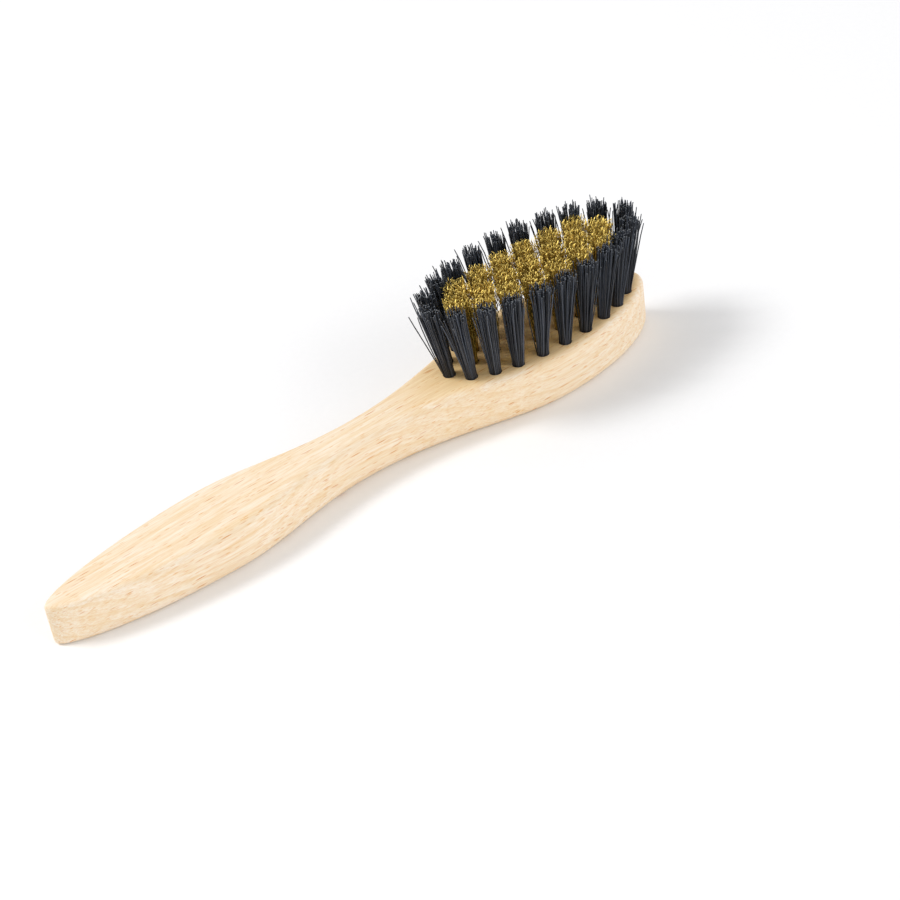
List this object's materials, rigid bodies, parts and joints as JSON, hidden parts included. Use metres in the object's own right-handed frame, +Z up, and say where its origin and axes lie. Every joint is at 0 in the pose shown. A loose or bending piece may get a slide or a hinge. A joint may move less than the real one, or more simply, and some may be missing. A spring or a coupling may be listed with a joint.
{
  "type": "suede brush",
  "caption": "Wooden suede brush: leaf-shaped handle, waisted neck and oval head with a ring of black bristle tufts round a field of brass wire tufts.",
  "frame": {"origin": "under the middle of the brush's bounding box, on the flat back of the wood that the brush rests on", "axes": "+X from the butt of the handle to the toe of the head, +Y across the head, +Z up along the bristles"},
  "size_m": [0.191, 0.0355, 0.0367],
  "materials": {
    "beech": "pale beech, sanded smooth, clear satin",
    "black_bristle": "stiff black bristle with a faint gloss",
    "brass_wire": "bright fine crimped wire",
    "anchor_steel": "plain flat wire"
  },
  "bodies": {
    "root": {"wooden_body": "beech", "tuft_anchors": "anchor_steel", "black_tuft_01": "black_bristle", "black_tuft_02": "black_bristle", "black_tuft_03": "black_bristle", "black_tuft_04": "black_bristle", "black_tuft_05": "black_bristle", "black_tuft_06": "black_bristle", "black_tuft_07": "black_bristle", "black_tuft_08": "black_bristle", "black_tuft_09": "black_bristle", "black_tuft_10": "black_bristle", "black_tuft_11": "black_bristle", "black_tuft_12": "black_bristle", "black_tuft_13": "black_bristle", "black_tuft_14": "black_bristle", "black_tuft_15": "black_bristle", "black_tuft_16": "black_bristle", "black_tuft_17": "black_bristle", "black_tuft_18": "black_bristle", "black_tuft_19": "black_bristle", "black_tuft_20": "black_bristle", "brass_tuft_01": "brass_wire", "brass_tuft_02": "brass_wire", "brass_tuft_03": "brass_wire", "brass_tuft_04": "brass_wire", "brass_tuft_05": "brass_wire", "brass_tuft_06": "brass_wire", "brass_tuft_07": "brass_wire", "brass_tuft_08": "brass_wire", "brass_tuft_09": "brass_wire", "brass_tuft_10": "brass_wire", "brass_tuft_11": "brass_wire", "brass_tuft_12": "brass_wire", "brass_tuft_13": "brass_wire", "brass_tuft_14": "brass_wire", "brass_tuft_15": "brass_wire", "brass_tuft_16": "brass_wire", "brass_tuft_17": "brass_wire", "brass_tuft_18": "brass_wire", "brass_tuft_19": "brass_wire"}
  },
  "joints": []
}
